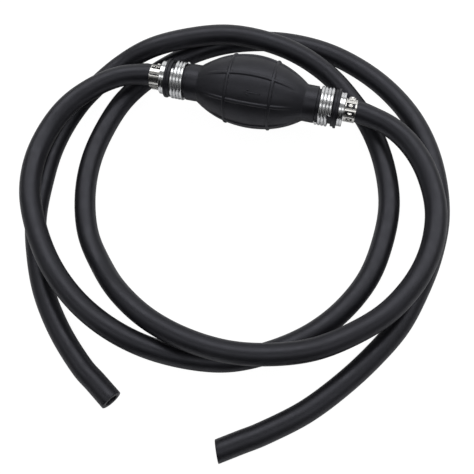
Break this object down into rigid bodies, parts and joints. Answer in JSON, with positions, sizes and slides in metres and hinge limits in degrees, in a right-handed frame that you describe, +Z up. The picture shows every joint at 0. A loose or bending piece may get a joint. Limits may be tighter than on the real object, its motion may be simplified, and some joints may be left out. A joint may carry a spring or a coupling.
{
  "type": "primer bulb siphon hose",
  "caption": "Squeeze bulb with a one-way valve in each neck, wire neck clamps, barbed flanged ends, pinched hose clamps and a loose rubber siphon hose on each end.",
  "frame": {"origin": "bottom centre of the bulb with its fittings, on the plane the bulb and hoses lie on", "axes": "+X along the bulb's axis from the outlet end to the inlet end, +Z up, -Y towards the hoses' free ends"},
  "size_m": [0.284, 0.3016, 0.0508],
  "materials": {
    "bulb_rubber": "moulded matte black rubber",
    "hose_rubber": "extruded satin black rubber",
    "seal_rubber": "smooth nitrile",
    "aluminium": "turned",
    "wire_steel": "bright plated wire",
    "clamp_steel": "stainless strip",
    "spring_steel": "drawn wire",
    "valve_plastic": "natural acetal"
  },
  "bodies": {
    "root": {"bulb": "bulb_rubber", "inlet_valve_body": "aluminium", "inlet_valve_spring": "spring_steel", "inlet_spring_guide": "valve_plastic", "inlet_wire_clamp": "wire_steel", "inlet_hose_clamp": "clamp_steel", "inlet_hose_cuff": "hose_rubber", "inlet_hose": "hose_rubber", "inlet_hose_mouth": "hose_rubber", "outlet_valve_body": "aluminium", "outlet_valve_spring": "spring_steel", "outlet_spring_guide": "valve_plastic", "outlet_seat_ring": "valve_plastic", "outlet_wire_clamp": "wire_steel", "outlet_hose_clamp": "clamp_steel", "outlet_hose_cuff": "hose_rubber", "outlet_hose": "hose_rubber", "outlet_hose_mouth": "hose_rubber"},
    "thumb_panel": {"thumb_panel": "bulb_rubber"},
    "inlet_poppet": {"inlet_poppet": "valve_plastic", "inlet_poppet_seal": "seal_rubber"},
    "outlet_poppet": {"outlet_poppet": "valve_plastic", "outlet_poppet_seal": "seal_rubber"}
  },
  "joints": [
    {"name": "bulb_squeeze", "type": "slide", "parent": "root", "child": "thumb_panel", "axis": [0, 0, -1], "range_m": [0, 0.008], "stiffness_N_per_m": 1500},
    {"name": "inlet_valve", "type": "slide", "parent": "root", "child": "inlet_poppet", "axis": [-1, 0, 0], "range_m": [0, 0.0025], "stiffness_N_per_m": 60, "springref_m": -0.001, "deforming": ["inlet_valve_spring"]},
    {"name": "outlet_valve", "type": "slide", "parent": "root", "child": "outlet_poppet", "axis": [-1, 0, 0], "range_m": [0, 0.0025], "stiffness_N_per_m": 60, "springref_m": -0.001, "deforming": ["outlet_valve_spring"]}
  ]
}
